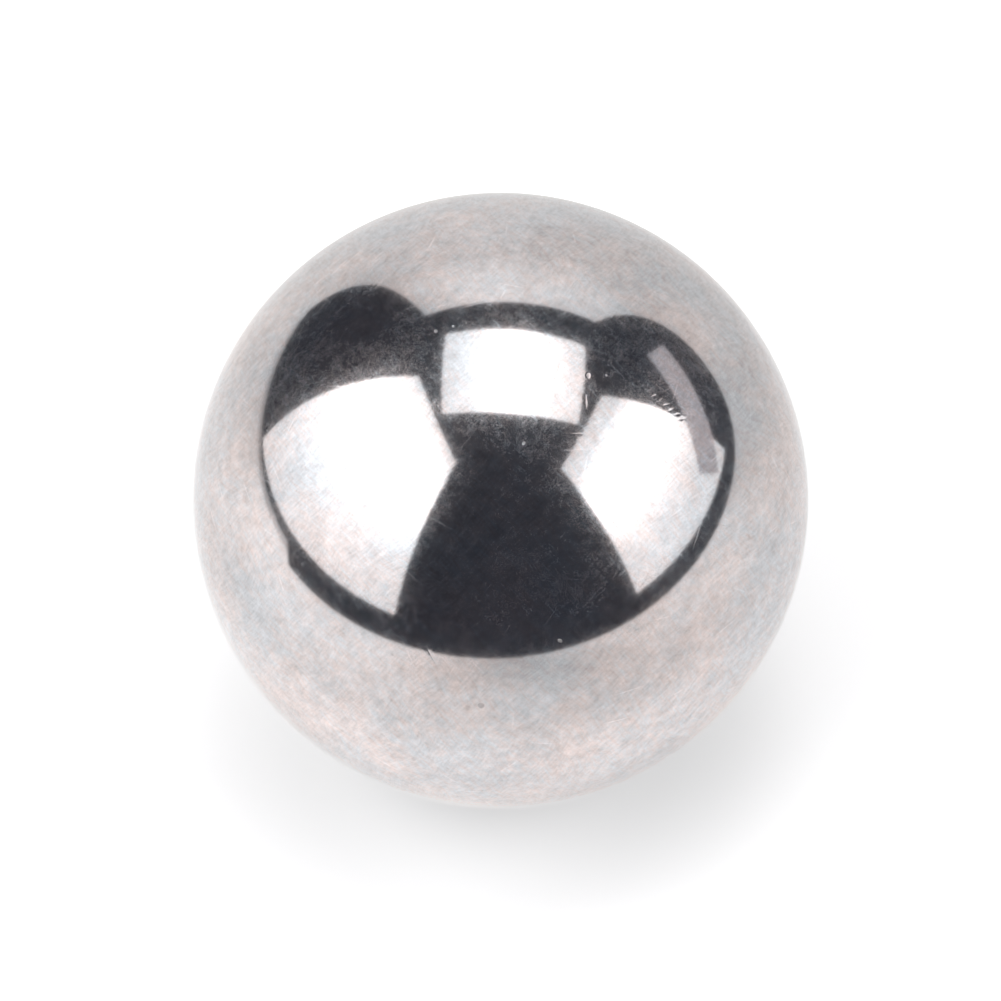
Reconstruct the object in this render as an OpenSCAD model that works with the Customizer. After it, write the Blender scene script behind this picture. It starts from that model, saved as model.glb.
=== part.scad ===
// A loose steel ball, ground and lapped round and polished bright all over.
// It is one solid sphere with no seam, flat or hole, so its diameter gives its whole form.
// The origin is the ball's centre, with +Z up.

/* [Ball] */
// Diameter of the ball, the same measured in every direction
ball_d = 25; // [5:0.5:100]

/* [Hidden] */

// Bright, slightly warm grey of polished steel
steel_colour = [0.78, 0.77, 0.77];
// Facets round the equator when the ball is drawn as a mesh
ball_facets = 180;

module ball() {
    color(steel_colour)
        sphere(d = ball_d, $fn = ball_facets);
}

ball();
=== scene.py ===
import math
import random

import bmesh
import bpy
from mathutils import Matrix, Quaternion, Vector


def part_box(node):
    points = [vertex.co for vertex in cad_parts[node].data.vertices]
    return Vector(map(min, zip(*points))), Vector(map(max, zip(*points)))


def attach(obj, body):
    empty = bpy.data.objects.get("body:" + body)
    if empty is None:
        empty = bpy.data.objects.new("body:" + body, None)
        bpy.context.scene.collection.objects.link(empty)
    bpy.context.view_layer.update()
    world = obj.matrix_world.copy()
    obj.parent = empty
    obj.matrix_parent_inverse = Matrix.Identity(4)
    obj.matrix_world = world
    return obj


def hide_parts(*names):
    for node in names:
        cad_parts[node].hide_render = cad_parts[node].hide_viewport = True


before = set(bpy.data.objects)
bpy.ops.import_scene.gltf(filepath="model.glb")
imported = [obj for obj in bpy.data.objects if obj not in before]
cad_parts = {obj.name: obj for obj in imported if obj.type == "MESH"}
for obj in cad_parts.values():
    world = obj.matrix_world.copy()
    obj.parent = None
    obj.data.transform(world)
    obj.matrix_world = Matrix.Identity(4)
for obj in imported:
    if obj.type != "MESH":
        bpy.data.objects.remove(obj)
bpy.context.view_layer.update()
mm = 0.001  # every size below is in millimetres, Blender works in metres

ballLow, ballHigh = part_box("ball")
ballCentre = (Vector(ballLow) + Vector(ballHigh)) / 2
ballRadius = (ballHigh[0] - ballLow[0]) / 2
print("frame loaded, ball of", round(ballRadius * 2 / mm, 2), "mm")


def linearFromHex(text):
    # sRGB hex to the linear colour that Blender's sockets take
    parts = [int(text[i:i + 2], 16) / 255 for i in (1, 3, 5)]
    return [c / 12.92 if c <= 0.04045 else ((c + 0.055) / 1.055) ** 2.4 for c in parts] + [1.0]


def addNode(tree, kind, settings=None, inputs=None):
    # adds one node, sets its settings, and fills or links its inputs by name or number
    node = tree.nodes.new("ShaderNode" + kind)
    for name, value in (settings or {}).items():
        setattr(node, name, value)
    for name, value in (inputs or {}).items():
        socket = node.inputs[name]
        if isinstance(value, bpy.types.NodeSocket):
            tree.links.new(value, socket)
        else:
            socket.default_value = value
    return node


def newMaterial(name):
    material = bpy.data.materials.new(name)
    material.use_nodes = True
    material.node_tree.nodes.clear()
    return material, material.node_tree


def total(tree, patterns, weights):
    # adds up patterns, each times its own weight, on top of "start"
    value = weights.get("start", 0.0)
    for name, weight in weights.items():
        if name != "start":
            value = addNode(tree, "Math", {"operation": "MULTIPLY_ADD"}, {
                0: patterns[name], 1: weight, 2: value}).outputs[0]
    return value


def product(tree, *values):
    # multiplies any number of patterns or numbers
    result = values[0]
    for value in values[1:]:
        result = addNode(tree, "Math", {"operation": "MULTIPLY"}, {0: result, 1: value}).outputs[0]
    return result


def between(value, start, end, low=0, high=1):
    # what a range node takes to go from low to high as the value goes from start to end
    return {"Value": value, "From Min": start, "From Max": end, "To Min": low, "To Max": high}


def betweenSizes(value, start, end, low, high):
    # the same for a value in metres, with start and end in millimetres
    return between(value, start * mm, end * mm, low, high)


smooth = {"interpolation_type": "SMOOTHSTEP"}  # makes a range node ease in and out


def toward(azimuth, elevation):
    # unit vector for a heading: azimuth 0 is the front, -Y, and 90 is +X
    a = math.radians(azimuth)
    e = math.radians(elevation)
    return Vector((math.sin(a) * math.cos(e), -math.cos(a) * math.cos(e), math.sin(e)))


cameraSizes = {
    "azimuth": 8.4,     # degrees round from the front, towards +X
    "elevation": 55.5,  # degrees above level
    "distance": 271,    # from the ball's centre
    "roll": 4.2,        # degrees, the camera's top leans to its right
    "lens": 240,        # long lens on a 36 mm sensor, so the ball fills the frame
    "sensor": 36,
}


def makeCamera(c):
    data = bpy.data.cameras.new("camera")
    data.lens = c["lens"]
    data.sensor_width = c["sensor"]
    camera = bpy.data.objects.new("camera", data)
    bpy.context.scene.collection.objects.link(camera)
    out = toward(c["azimuth"], c["elevation"])
    turn = (-out).to_track_quat("-Z", "Y").to_matrix() @ Matrix.Rotation(math.radians(-c["roll"]), 3, "Z")
    camera.matrix_world = Matrix.Translation(ballCentre + out * c["distance"] * mm) @ turn.to_4x4()
    bpy.context.scene.camera = camera


makeCamera(cameraSizes)
print("camera set")


# The studio is a white paper sweep on a white table, three softboxes, a grey card and a dark room round
# them. The ball mirrors all of it. The camera sees a plain white floor in its place, so that no paper edge
# or lamp shows.
def addStage(name, bm, material):
    mesh = bpy.data.meshes.new(name)
    bm.to_mesh(mesh)
    bm.free()
    mesh.materials.append(material)
    thing = bpy.data.objects.new(name, mesh)
    bpy.context.scene.collection.objects.link(thing)
    return thing


def hideFrom(thing, *rays):
    # rays that pass the thing by: camera, diffuse, glossy, transmission or shadow
    for ray in rays:
        setattr(thing, "visible_" + ray, False)


def seenDirectly(tree):
    # 1 where the eye, a mirror or glass looks at the surface, 0 for the light that it scatters
    path = addNode(tree, "LightPath")
    seen = addNode(tree, "Math", {"operation": "ADD"}, {
        0: path.outputs["Is Camera Ray"], 1: path.outputs["Is Glossy Ray"]})
    return addNode(tree, "Math", {"operation": "ADD", "use_clamp": True}, {
        0: seen.outputs[0], 1: path.outputs["Is Transmission Ray"]}).outputs[0]


def mattPaper(material, tree, colour, lift):
    # uncoated background paper: it scatters light evenly and has no gloss; lift is what the eye, a mirror
    # and glass see on top of the lit paper, so that it reads as pure white and its shadows stay
    shader = addNode(tree, "BsdfPrincipled", inputs={
        "Base Color": colour, "Roughness": 0.9, "Specular IOR Level": 0.2,
        "Emission Color": (1, 1, 1, 1), "Emission Strength": product(tree, seenDirectly(tree), lift)})
    addNode(tree, "OutputMaterial", inputs={"Surface": shader.outputs[0]})
    material.cycles.emission_sampling = "NONE"


def paintedGlowMaterial(name, colour):
    # flat matt card or paint shown as an even glow of its own colour: painted light, which the lamps don't
    # change
    material, tree = newMaterial(name)
    light = addNode(tree, "Emission", inputs={"Color": linearFromHex(colour), "Strength": 1})
    addNode(tree, "OutputMaterial", inputs={"Surface": light.outputs[0]})
    material.cycles.emission_sampling = "NONE"
    return material


paperLight = {
    "colour": "#F5F3F1",
    # each is where it starts and ends, in millimetres, then its value at either
    "lift": (12, 36, 0.56, 0.155),   # from the ball's middle: painted light, strongest at the ball's foot, where the ball takes the lamps' light away
    "side": (-20, 40, 1, 0.86),      # painted shade in the paper's colour, darker from the left to the right of the ball, the left lamp being the nearer
    "back": (0, 40, 1, 0.7),         # painted shade in the paper's colour, darker behind the ball, where the lamps' pool ends
    "rise": (140, 330, 1, 1.45),     # painted light in the paper's colour, lighter up the rise, which the lamp above lights again
    "shadow": (20, 110, 0.62, 1),    # painted shadow of the camera in the paper's colour, from its middle, in front of the ball
    "shadowAt": (15, -125, 0),
    "shadowStretch": (1.5, 0.7, 0),
}


def paperMaterial(p):
    # matt white background paper, uncoated: pure white, with painted shade in its colour where the lamps
    # reach it less, and painted light up the rise
    material, tree = newMaterial("whiteBackgroundPaper")
    coords = addNode(tree, "TexCoord").outputs["Object"]
    away = addNode(tree, "VectorMath", {"operation": "LENGTH"}, {0: coords}).outputs["Value"]
    place = addNode(tree, "SeparateXYZ", inputs={0: coords})
    off = addNode(tree, "VectorMath", {"operation": "SUBTRACT"}, {0: coords, 1: Vector(p["shadowAt"]) * mm})
    off = addNode(tree, "VectorMath", {"operation": "MULTIPLY"}, {0: off.outputs[0], 1: p["shadowStretch"]})
    off = addNode(tree, "VectorMath", {"operation": "LENGTH"}, {0: off.outputs[0]})
    lengths = {"lift": away, "side": place.outputs["X"], "back": place.outputs["Y"],
               "rise": place.outputs["Z"], "shadow": off.outputs["Value"]}
    light = {name: addNode(tree, "MapRange", smooth, betweenSizes(length, *p[name])).outputs[0]
             for name, length in lengths.items()}
    # painted shade and painted light, multiplied into the paper's colour
    shade = product(tree, light["side"], light["back"], light["rise"], light["shadow"])
    colour = addNode(tree, "VectorMath", {"operation": "SCALE"}, {
        0: linearFromHex(p["colour"])[:3], "Scale": shade}).outputs[0]
    mattPaper(material, tree, colour, light["lift"])
    return material


sweepSizes = {
    "frontReach": 228,         # the paper's rounded front edge, in front of the ball
    "left": 152,               # half width beside the ball, to the left
    "right": 225,              # half width beside the ball, to the right
    "curveStart": 62,          # behind the ball, where the paper starts to rise
    "curveRadius": 412,        # radius of the rise
    "top": 496,                # height of the top edge behind the ball
    "topSlope": -0.155,        # the top edge drops to the right
    "leftTop": 309,            # half width at the top, to the left
    "rightTop": 317,           # half width at the top, to the right
    "leftSpread": (150, 475),  # distances behind the ball over which the paper widens to that
    "rightSpread": (0, 250),
    "below": 0.05,             # just under the floor that the camera sees
}


def widened(width, topWidth, y, spread):
    share = (y - spread[0]) / (spread[1] - spread[0])
    return width + (topWidth - width) * min(1, max(0, share))


def makeSweep(s, material):
    bm = bmesh.new()
    bmesh.ops.create_grid(bm, x_segments=24, y_segments=96, size=1)
    floorLevel = ballLow[2] / mm - s["below"]
    rise = s["curveRadius"] * math.pi / 2
    length = s["frontReach"] + s["curveStart"] + rise + (s["top"] - floorLevel - s["curveRadius"])
    for v in bm.verts:
        across = v.co.x
        along = (v.co.y + 1) / 2
        run = along * length - s["frontReach"]
        if run < s["curveStart"]:
            y, z = run, floorLevel
        elif run < s["curveStart"] + rise:
            angle = (run - s["curveStart"]) / s["curveRadius"]
            y = s["curveStart"] + s["curveRadius"] * math.sin(angle)
            z = floorLevel + s["curveRadius"] * (1 - math.cos(angle))
        else:
            y = s["curveStart"] + s["curveRadius"]
            z = floorLevel + s["curveRadius"] + run - s["curveStart"] - rise
        if y < 0:
            squeeze = math.sqrt(max(0, 1 - (y / s["frontReach"]) ** 2))
            left = s["left"] * squeeze
            right = s["right"] * squeeze
        else:
            left = widened(s["left"], s["leftTop"], y, s["leftSpread"])
            right = widened(s["right"], s["rightTop"], y, s["rightSpread"])
        x = across * (right if across > 0 else left)
        above = max(0, z - s["curveRadius"]) / (s["top"] - s["curveRadius"])
        z += above * s["topSlope"] * x
        v.co = Vector((x, y, z)) * mm
    for f in bm.faces:
        f.smooth = True
    sweep = addStage("paperSweep", bm, material)
    hideFrom(sweep, "camera", "shadow")


tableSizes = {
    "left": 600,   # how far the white table reaches to the left of the ball
    "inner": 60,   # where it goes under the paper
    "front": 18,   # how far it reaches in front of the ball
    "back": 500,   # and behind it
    "turn": 14.2,  # degrees, its left end swung towards the camera
    "below": 0.5,  # the paper lies this much above it
}


def makeTable(t, material):
    bm = bmesh.new()
    bmesh.ops.create_grid(bm, x_segments=1, y_segments=1, size=0.5)
    width = t["left"] - t["inner"]
    depth = t["front"] + t["back"]
    bmesh.ops.scale(bm, vec=(width * mm, depth * mm, 1), verts=bm.verts)
    top = ballLow[2] / mm - t["below"]
    middle = Vector((-(t["left"] + t["inner"]) / 2, (t["back"] - t["front"]) / 2, top))
    bmesh.ops.translate(bm, vec=middle * mm, verts=bm.verts)
    bmesh.ops.rotate(bm, matrix=Matrix.Rotation(math.radians(t["turn"]), 3, "Z"), verts=bm.verts)
    table = addStage("whiteTable", bm, material)
    hideFrom(table, "camera", "shadow")


floorSizes = {
    "colour": "#F6F3F3",
    "reach": 1700,              # far wider than the view
    "lift": (30, 220, 0.4, 1),  # where it starts and ends, then its value beside the ball and far from it
}


def floorMaterial(f):
    # the same matt white paper, as the camera sees it: pure white but for the ball's own soft shadow
    material, tree = newMaterial("whiteFloorPaper")
    coords = addNode(tree, "TexCoord").outputs["Object"]
    away = addNode(tree, "VectorMath", {"operation": "LENGTH"}, {0: coords}).outputs["Value"]
    lift = addNode(tree, "MapRange", smooth, betweenSizes(away, *f["lift"])).outputs[0]
    mattPaper(material, tree, linearFromHex(f["colour"]), lift)
    return material


def makeFloor(f):
    # the one piece of the studio that the camera sees
    bm = bmesh.new()
    bmesh.ops.create_circle(bm, cap_ends=True, segments=64, radius=f["reach"] * mm)
    bmesh.ops.translate(bm, vec=(0, 0, ballLow[2]), verts=bm.verts)
    floor = addStage("whiteFloor", bm, floorMaterial(f))
    hideFrom(floor, "diffuse", "glossy", "transmission", "shadow")


cardSizes = {
    "high": (131, 25),  # azimuth and elevation of its high end, from the ball
    "low": (97, 7.5),   # and of its low end
    "distance": 400,
    "width": 68,
    "colour": "#C8C6CA",
}


def makeCard(c):
    # a grey card that stands beside the paper, to the right; its grey is a painted glow, not lit by the lamps
    bm = bmesh.new()
    bmesh.ops.create_grid(bm, x_segments=1, y_segments=1, size=0.5)
    high = toward(*c["high"]) * c["distance"] * mm
    low = toward(*c["low"]) * c["distance"] * mm
    along = (low - high).normalized()
    facing = -(low + high).normalized()
    across = facing.cross(along)
    bmesh.ops.scale(bm, vec=((low - high).length, c["width"] * mm, 1), verts=bm.verts)
    turn = Matrix((along, across, facing)).transposed().to_4x4()
    bmesh.ops.transform(bm, matrix=Matrix.Translation((low + high) / 2) @ turn, verts=bm.verts)
    card = addStage("greyCard", bm, paintedGlowMaterial("greyCard", c["colour"]))
    hideFrom(card, "camera", "shadow")


lampGlow = {
    "colour": "#FAFCFD",
    "hot": 2.8,  # over the flash tube, on top of the edge
}
softboxFront = (480, 680)  # lit front of a 500 x 700 softbox inside its rim
# "hot" is how far the flash tube's glow spreads across and along the front, "rise" how far up the front
# it sits, "edge" how bright the front is past it
softboxes = {
    "softboxLeft": {"centre": (-274, -90, 358), "turn": (84.4, -4.6, -68.2), "size": softboxFront,
                    "hot": (330, 190), "rise": 40, "edge": 1.2},
    "softboxRight": {"centre": (447, -49, 364), "turn": (88.9, 1.6, 71.3), "size": softboxFront,
                     "hot": (380, 130), "rise": 0, "edge": 1.24},
    "softboxAbove": {"centre": (76, 212, 744), "turn": (-3.8, 4.5, 1.8), "size": softboxFront[::-1],
                     "hot": (140, 380), "rise": 0, "edge": 1.48},
}


def diffuserMaterial(s):
    # white nylon diffuser of a softbox: brightest over the flash tube, falling off to its ends
    material, tree = newMaterial("softboxDiffuser")
    coords = addNode(tree, "TexCoord")
    across, along = s["hot"]
    away = addNode(tree, "VectorMath", {"operation": "MULTIPLY_ADD"}, {
        0: coords.outputs["Object"], 1: (1 / (across * mm), 1 / (along * mm), 0),
        2: (0, -s["rise"] / along, 0)}).outputs[0]
    square = addNode(tree, "VectorMath", {"operation": "DOT_PRODUCT"}, {0: away, 1: away})
    fall = addNode(tree, "Math", {"operation": "EXPONENT"}, {0: product(tree, square.outputs["Value"], -1)})
    glow = total(tree, {"fall": fall.outputs[0]}, {"start": s["edge"], "fall": lampGlow["hot"]})
    light = addNode(tree, "Emission", inputs={
        "Color": linearFromHex(lampGlow["colour"]), "Strength": glow})
    addNode(tree, "OutputMaterial", inputs={"Surface": light.outputs[0]})
    return material


def makeSoftbox(name, s):
    bm = bmesh.new()
    bmesh.ops.create_grid(bm, x_segments=1, y_segments=1, size=0.5)
    bmesh.ops.scale(bm, vec=(s["size"][0] * mm, s["size"][1] * mm, 1), verts=bm.verts)
    panel = addStage(name, bm, diffuserMaterial(s))
    panel.location = Vector(s["centre"]) * mm
    panel.rotation_euler = [math.radians(a) for a in s["turn"]]
    hideFrom(panel, "camera")


roomSizes = {
    "width": 3600,        # each way
    "middle": 900,        # height of its middle above the ball
    "colour": "#393C44",  # walls that glow a dim grey of their own, nearly black: painted light in place of the lamps' faint spill on them
}


def makeRoom(r):
    bm = bmesh.new()
    bmesh.ops.create_cube(bm, size=r["width"] * mm)
    bmesh.ops.reverse_faces(bm, faces=bm.faces)
    room = addStage("darkRoom", bm, paintedGlowMaterial("glowingStudioWall", r["colour"]))
    room.location = (0, 0, r["middle"] * mm)
    hideFrom(room, "camera")


paper = paperMaterial(paperLight)
makeSweep(sweepSizes, paper)
makeTable(tableSizes, paper)
makeFloor(floorSizes)
makeCard(cardSizes)
for name, sizes in softboxes.items():
    makeSoftbox(name, sizes)
makeRoom(roomSizes)

world = bpy.data.worlds.new("paleWorld")
world.use_nodes = True
world.node_tree.nodes["Background"].inputs["Color"].default_value = (1, 1, 1, 1)
world.node_tree.nodes["Background"].inputs["Strength"].default_value = 1
bpy.context.scene.world = world
bpy.context.scene.view_settings.view_transform = "Standard"
bpy.context.scene.cycles.max_bounces = 5
bpy.context.scene.cycles.diffuse_bounces = 3
bpy.context.scene.cycles.caustics_reflective = False
print("studio set")


steelFinish = {
    "warm": "#DCCECB",  # faint straw-pink cast of the steel
    "cool": "#C8C9CD",  # faint blue-grey cast
    "edge": "#F5F4F4",  # iron mirrors a little less at a grazing angle than brighter metals do

    # sizes of the patterns
    "worn": 4.0,              # across one worn region
    "waver": 1.2,             # how far the lapping ticks wander from their circles
    "mottle": 0.6,            # across one patch of the mottle that lapping leaves, with finer ones inside it
    "tick": (0.7, 0.09),      # length and width of a lapping tick, drawn wide enough to show
    "lappingRuns": ((115, -36), (112, 223)),  # tilt and turn of the two lapping axes, in degrees
    "grit": 0.015,            # across one speck
    # loose scratches: one to a cell, its width drawn coarse too, the share of cells that have one, the way
    # they run, how much each one strays from it, and where it fades out, in cells from its middle
    "scratch": {"cell": 1.4, "width": 0.08, "keep": 0.6, "run": (0.5, 0.2, -0.7), "stray": 1.6,
                "ends": (0.5, 0.2)},

    # patterns that are cut from another one, and the two values of it between which they go from 0 to 1
    "cuts": {
        "worn": ("region", 0.36, 0.64),
        "patches": ("mottle", 0.35, 0.65),
        "dots": ("mottle", 0.34, 0.26),
        "gritPeaks": ("grit", 0.55, 0.66),
        "firstPeaks": ("first", 0.6, 0.78),
        "secondPeaks": ("second", 0.6, 0.78),
        "oily": ("ticks", 0.42, 0.58),
        "floor": ("fromMiddle", ballRadius / mm - 0.0012, ballRadius / mm - 0.003),  # floor of a mark
        "sunkShade": ("fromMiddle", ballRadius / mm - 0.0015, ballRadius / mm - 0.005),  # painted shade: the dark bottom of a pit or groove, darker the deeper it is
    },

    # how dull it is: lapped and tumbled to a mirror, "start", then what full marks and their floors add
    "dull": {"start": 0.065, "marks": 0.19, "floor": 0.28},
    "marks": {"specks": 1.0, "scratches": 0.5},
    "specks": {"gritPeaks": 0.84, "firstPeaks": 0.2, "secondPeaks": 0.2},
    "patchy": {"start": 0.05, "worn": 0.6, "patches": 0.5},  # where the specks lie

    # thin film of rust-proofing oil and settled dust, thicker along some lapping ticks
    "film": {"start": 0.385, "oily": 0.315},
    "filmRoughness": 0.25,
    "settled": (-1, 11, 0.45, 1.42),  # heights over which film and specks grow, dust lying mostly on top

    # shares of each pattern in the mix of warm and cool, in the shade, and in the height of the fine bump
    "hue": {"start": -0.6, "hues": 0.7, "broad": 0.9, "second": 0.6},
    "hueRange": (0.3, 0.7),  # from all warm to all cool
    # in the shade, the scratches' share is a painted glint: they are drawn lighter in the colour for the
    # lamplight they catch
    "shade": {"mottle": 0.7, "region": 0.35, "first": 0.3, "second": 0.3, "grit": 0.3, "scratches": 0.35,
              "dots": -0.12, "sunkShade": -0.25},
    "bump": {"grit": 0.0001, "first": 0.0003},
}


def strokes(tree, point, outward, s):
    # one straight stroke in each cell of a random lattice, lying in the surface
    cells = addNode(tree, "TexVoronoi", inputs={"Vector": point, "Scale": 1 / s["cell"]})
    away = addNode(tree, "VectorMath", {"operation": "SUBTRACT"}, {0: point, 1: cells.outputs["Position"]})
    stray = addNode(tree, "VectorMath", {"operation": "SUBTRACT"}, {
        0: cells.outputs["Color"], 1: (0.5, 0.5, 0.5)})
    heading = addNode(tree, "VectorMath", {"operation": "MULTIPLY_ADD"}, {
        0: stray.outputs[0], 1: [s["stray"]] * 3, 2: s["run"]})
    side = addNode(tree, "VectorMath", {"operation": "CROSS_PRODUCT"}, {0: outward, 1: heading.outputs[0]})
    side = addNode(tree, "VectorMath", {"operation": "NORMALIZE"}, {0: side.outputs[0]})
    off = addNode(tree, "VectorMath", {"operation": "DOT_PRODUCT"}, {0: away.outputs[0], 1: side.outputs[0]})
    off = addNode(tree, "Math", {"operation": "ABSOLUTE"}, {0: off.outputs["Value"]})
    chance = addNode(tree, "SeparateColor", inputs={0: cells.outputs["Color"]})
    line = addNode(tree, "MapRange", inputs=between(off.outputs[0], s["width"] / 2, 0))
    ends = addNode(tree, "MapRange", inputs=between(cells.outputs["Distance"], *s["ends"]))
    kept = addNode(tree, "MapRange", inputs=between(chance.outputs[2], 1 - s["keep"], 1))
    return product(tree, line.outputs[0], ends.outputs[0], kept.outputs[0])


def lapping(tree, point, size, run):
    # noise drawn out along the circles round one lapping axis
    along = addNode(tree, "Mapping", {"vector_type": "TEXTURE"}, {
        "Vector": point, "Rotation": (0, math.radians(run[0]), math.radians(run[1])),
        "Scale": (size[0], size[0], size[1])})
    return addNode(tree, "TexNoise", inputs={
        "Vector": along.outputs[0], "Scale": 1, "Detail": 1, "Roughness": 0.65}).outputs["Fac"]


def steelPatterns(tree, coords, f):
    # every pattern that the steel is mixed from, by name: each is about 0 to 1, but for the distance from
    # the ball's middle, in millimetres
    point = addNode(tree, "VectorMath", {"operation": "SCALE"}, {0: coords, "Scale": 1 / mm}).outputs[0]
    outward = addNode(tree, "VectorMath", {"operation": "NORMALIZE"}, {0: point}).outputs[0]
    region = addNode(tree, "TexNoise", inputs={
        "Vector": point, "Scale": 1 / f["worn"], "Detail": 2, "Roughness": 0.5})
    wavy = addNode(tree, "VectorMath", {"operation": "MULTIPLY_ADD"}, {
        0: region.outputs["Color"], 1: [f["waver"]] * 3, 2: point}).outputs[0]
    mottle = addNode(tree, "TexNoise", inputs={
        "Vector": point, "Scale": 1 / f["mottle"], "Detail": 4, "Roughness": 0.8})
    grit = addNode(tree, "TexNoise", inputs={
        "Vector": point, "Scale": 1 / f["grit"], "Detail": 1, "Roughness": 0.6})
    patterns = {
        "region": region.outputs["Fac"],
        "broad": addNode(tree, "SeparateColor", inputs={0: region.outputs["Color"]}).outputs[1],
        "mottle": mottle.outputs["Fac"],
        "hues": addNode(tree, "SeparateColor", inputs={0: mottle.outputs["Color"]}).outputs[1],
        "first": lapping(tree, wavy, f["tick"], f["lappingRuns"][0]),
        "second": lapping(tree, wavy, f["tick"], f["lappingRuns"][1]),
        "grit": grit.outputs["Fac"],
        "scratches": strokes(tree, point, outward, f["scratch"]),
        "fromMiddle": addNode(tree, "VectorMath", {"operation": "LENGTH"}, {0: point}).outputs["Value"],
    }
    patterns["ticks"] = total(tree, patterns, {"first": 0.5, "second": 0.5})
    for name, (source, low, high) in f["cuts"].items():
        patterns[name] = addNode(tree, "MapRange", inputs=between(patterns[source], low, high)).outputs[0]
    return patterns


def ballMaterial(f):
    # through-hardened chromium bearing steel, ground, lapped and tumble polished: a mirror that carries
    # fine specks, scratches and lapping ticks, and a faint warm and cool cast in patches
    material, tree = newMaterial("lappedBearingSteel")
    coords = addNode(tree, "TexCoord").outputs["Object"]
    height = addNode(tree, "SeparateXYZ", inputs={0: coords}).outputs["Z"]
    settled = addNode(tree, "MapRange", smooth, betweenSizes(height, *f["settled"])).outputs[0]

    patterns = steelPatterns(tree, coords, f)
    patchy = total(tree, patterns, f["patchy"])
    specks = total(tree, patterns, f["specks"])
    patterns["specks"] = product(tree, specks, product(tree, settled, settled), patchy)
    patterns["marks"] = total(tree, patterns, f["marks"])
    film = product(tree, total(tree, patterns, f["film"]), settled)

    hue = addNode(tree, "MapRange", inputs=between(total(tree, patterns, f["hue"]), *f["hueRange"]))
    tint = addNode(tree, "Mix", {"data_type": "RGBA"}, {
        0: hue.outputs[0], 6: linearFromHex(f["warm"]), 7: linearFromHex(f["cool"])})
    colour = addNode(tree, "VectorMath", {"operation": "SCALE"}, {
        0: tint.outputs[2], "Scale": total(tree, patterns, f["shade"])})
    bump = addNode(tree, "Bump", inputs={
        "Strength": 1.0, "Distance": mm, "Height": total(tree, patterns, f["bump"])})
    shader = addNode(tree, "BsdfPrincipled", inputs={
        "Base Color": colour.outputs[0], "Metallic": 1.0, "Roughness": total(tree, patterns, f["dull"]),
        "Normal": bump.outputs[0], "Specular Tint": linearFromHex(f["edge"]),
        "Coat Weight": film, "Coat Roughness": f["filmRoughness"]})
    addNode(tree, "OutputMaterial", inputs={"Surface": shader.outputs[0]})
    return material


ballMarks = {
    # azimuth, elevation and size across of the pits that show, then how many more there are and how big
    "pits": ((2, 15.6, 0.34), (20, 65, 0.18), (65.5, 69, 0.2), (71, 66.2, 0.14), (-74.5, 80.6, 0.2),
             (-75, 83.8, 0.13), (18.4, 28, 0.18)),
    "morePits": 14,
    "pitSize": (0.07, 0.13),
    "pitDepth": 0.03,             # share of its size
    "pitStretch": (1.1, 1.6),     # how much longer one way than the other
    "pitTurn": 9,                 # times its stretch, the angle in radians that turns each pit its own way
    "pitRim": (0.04, 1.2, 0.25),  # height as a share of the depth, then radius and width in radii of the pit
    "pitRings": (1.5, 1.2, 1.0),  # how far round a pit the mesh is made finer, in its sizes, one by one
    "pitEdge": 0.12,              # and how much further, so that every edge there is taken in
    # azimuth and elevation of both ends of the scratches that show
    "scratches": ((-129.5, 65.5, -139, 79.5), (-111, 65.5, -132.5, 66), (-10, 20.3, -7.5, 18.4),
                  (-14.5, 10.8, -12, 8), (-10.7, -2.6, -8.5, -10.3), (5.6, 10.4, 8, 6.6),
                  (25, 14.2, 29.3, 18.6), (-5.8, 5.5, -2.5, -0.5), (-5, 13.2, -1.3, 17.9),
                  (-87.5, 70, -88, 78), (79.3, 61, 78.5, 53)),
    "moreScratches": 46,
    "scratchRun": (0.5, 0.2, -0.7),   # the way these run
    "scratchStray": 0.8,              # how much each one strays from it
    "scratchLength": (0.4, 1.7),
    "scratchWidth": 0.05,             # drawn wide enough to show, like the ticks of the steel
    "scratchDepth": 0.0016,
    # a row of chatter ticks, from its first to its last
    "row": (75.6, 59.3, 74.1, 49.7),
    "rowTicks": 8,
    "rowTick": (0.45, 0.06, 0.0022),  # length, width and depth of one
    "rowLean": (0.2, 0.9),            # how much a tick leans along the row
    "rowSpread": (0.6, 1.2),          # and its length, as a share
    "seed": 11,
}


def vertsNear(bm, middle, reach):
    limit = reach * reach
    return [v for v in bm.verts if (v.co - middle).length_squared < limit]


def ontoSphere(verts):
    # new points on a cut or a divided edge lie on its chord, less than 0.001 down; what is sunk further stays
    for v in verts:
        if v.co.length > ballRadius - 0.001 * mm:
            v.co = v.co.normalized() * ballRadius


def sinkPit(bm, at, across, stretch, m):
    # a small dent with a low raised rim, longer one way than the other
    middle = at * ballRadius
    side = at.orthogonal().normalized()
    side.rotate(Quaternion(at, stretch * m["pitTurn"]))
    other = at.cross(side)
    for reach in m["pitRings"]:
        near = vertsNear(bm, middle, (reach * across + m["pitEdge"]) * mm)
        edges = list({e for v in near for e in v.link_edges})
        bmesh.ops.subdivide_edges(bm, edges=edges, cuts=1, use_grid_fill=True)
        near = vertsNear(bm, middle, (reach * across + 0.5) * mm)  # the new points, and some past them
        ontoSphere(near)
        faces = {f for v in near for f in v.link_faces if len(f.verts) > 3}
        bmesh.ops.triangulate(bm, faces=list(faces))
    rimHeight, rimRadius, rimWidth = m["pitRim"]
    for v in vertsNear(bm, middle, 1.4 * across * mm):  # all of the bowl and the rim
        away = v.co - middle
        r = math.hypot(away.dot(side) / stretch, away.dot(other)) / (across / 2 * mm)
        bowl = max(0, 1 - r * r) ** 1.5
        rim = rimHeight * math.exp(-((r - rimRadius) / rimWidth) ** 2)
        v.co += at * (rim - bowl) * (across * m["pitDepth"]) * mm


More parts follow.
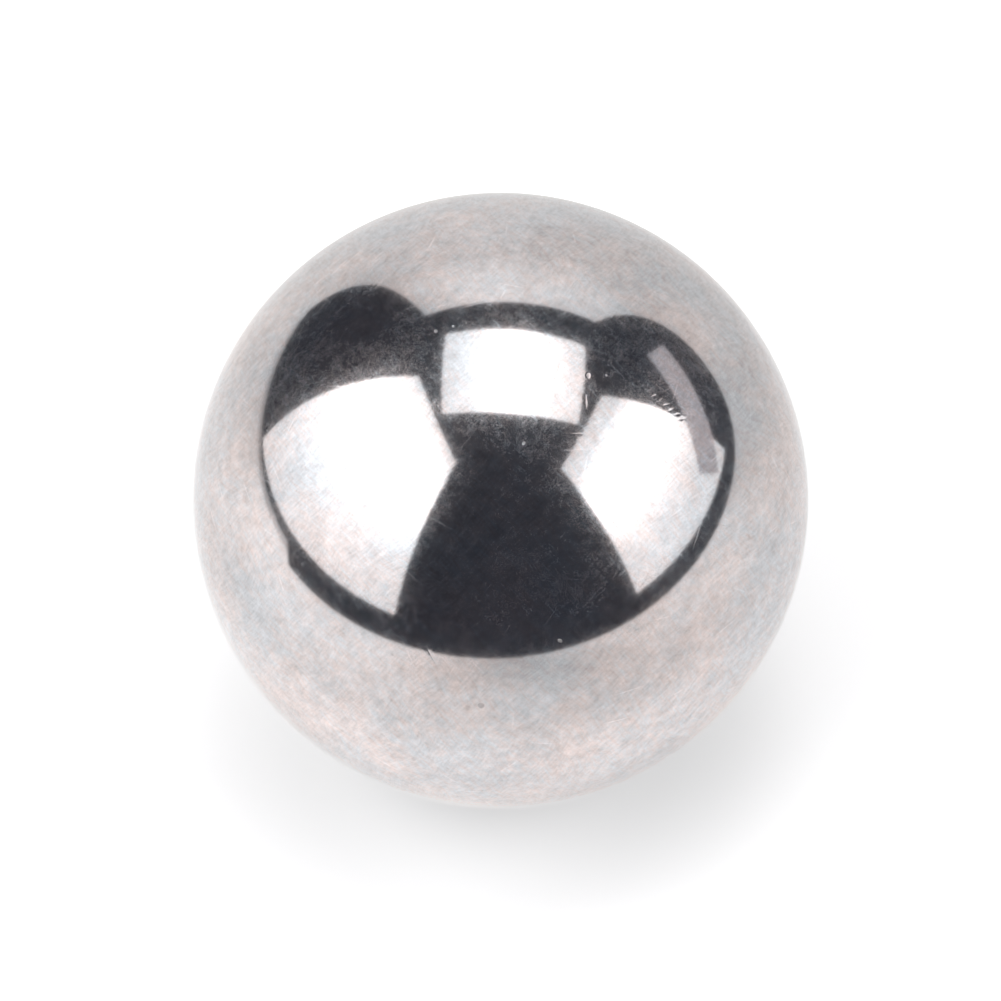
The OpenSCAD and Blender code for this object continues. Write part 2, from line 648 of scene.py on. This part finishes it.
def cutScratch(bm, start, end, width, depth):
    # a shallow groove on the arc from start to end: five cuts give it lines to bend along
    side = start.cross(end).normalized()
    middle = (start + end).normalized()
    along = side.cross(middle)
    half = start.angle(end) / 2 * ballRadius
    margin = 0.2 * mm
    near = {v for v in vertsNear(bm, middle * ballRadius, half + margin) if abs(v.co.dot(side)) < margin}
    for place in (-0.5, -0.25, 0, 0.25, 0.5):
        faces = {f for v in near for f in v.link_faces}
        edges = {e for f in faces for e in f.edges}
        verts = {v for f in faces for v in f.verts}
        cut = bmesh.ops.bisect_plane(bm, geom=list(verts) + list(edges) + list(faces), dist=0.0005 * mm,
                                     plane_co=side * place * width * mm, plane_no=side)
        near.update(v for v in cut["geom_cut"] if isinstance(v, bmesh.types.BMVert))
    ontoSphere(near)
    for v in near:
        off = abs(v.co.dot(side)) / (width / 2 * mm)
        toEnd = abs(v.co.dot(along)) / half
        sunk = max(0, 1 - off) * max(0, 1 - toEnd * toEnd)
        if sunk > 0.01:
            v.co -= v.co.normalized() * sunk * depth * mm


def anywhere(dice):
    return Vector([dice.gauss(0, 1) for _ in range(3)]).normalized()


def sinkPits(bm, m, dice):
    pits = [(toward(azimuth, elevation), across) for azimuth, elevation, across in m["pits"]]
    pits += [(anywhere(dice), dice.uniform(*m["pitSize"])) for _ in range(m["morePits"])]
    for at, across in pits:
        sinkPit(bm, at, across, dice.uniform(*m["pitStretch"]), m)


def scratchLines(m, dice):
    # both ends of every loose scratch, the ones that nobody placed running roughly one way
    lines = [(toward(a, b), toward(c, d)) for a, b, c, d in m["scratches"]]
    for _ in range(m["moreScratches"]):
        at = anywhere(dice)
        heading = Vector(m["scratchRun"]) + m["scratchStray"] * anywhere(dice)
        heading = (heading - at * heading.dot(at)).normalized()
        reach = dice.uniform(*m["scratchLength"]) * mm / ballRadius / 2
        lines.append(((at - heading * reach).normalized(), (at + heading * reach).normalized()))
    return lines


def cutRow(bm, m, dice):
    first = toward(*m["row"][:2])
    last = toward(*m["row"][2:])
    length, width, depth = m["rowTick"]
    for i in range(m["rowTicks"]):
        at = first.slerp(last, i / (m["rowTicks"] - 1))
        lean = dice.uniform(*m["rowLean"])
        heading = (last - first).normalized() * lean + at.cross(last - first).normalized()
        heading.normalize()
        reach = length * dice.uniform(*m["rowSpread"]) * mm / ballRadius / 2
        cutScratch(bm, (at - heading * reach).normalized(), (at + heading * reach).normalized(), width, depth)


def roundNormals(bm):
    # the whole ball takes its exact round normals, but not a mark or the points next to one
    sunk = [abs(v.co.length - ballRadius) > 0.0001 * mm for v in bm.verts]
    return [v.normal.copy() if sunk[v.index] or any(sunk[e.other_vert(v).index] for e in v.link_edges)
            else v.co.normalized() for v in bm.verts]


def makeBall(m):
    bm = bmesh.new()
    bmesh.ops.create_icosphere(bm, subdivisions=7, radius=ballRadius)
    dice = random.Random(m["seed"])
    sinkPits(bm, m, dice)
    print("pits sunk,", len(bm.faces), "faces")

    lines = scratchLines(m, dice)
    cutRow(bm, m, dice)
    for start, end in lines:
        cutScratch(bm, start, end, m["scratchWidth"], m["scratchDepth"])
    bmesh.ops.triangulate(bm, faces=[f for f in bm.faces if len(f.verts) > 3])
    print("scratches cut,", len(bm.faces), "faces")

    for f in bm.faces:
        f.smooth = True
    bm.normal_update()
    bm.verts.index_update()
    normals = roundNormals(bm)
    mesh = bpy.data.meshes.new("polishedBall")
    bm.to_mesh(mesh)
    bm.free()
    ball = bpy.data.objects.new("polishedBall", mesh)
    bpy.context.scene.collection.objects.link(ball)
    mesh.normals_split_custom_set_from_vertices(normals)
    mesh.materials.append(ballMaterial(steelFinish))
    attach(ball, "root")
    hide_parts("ball")


makeBall(ballMarks)
print("ball made")
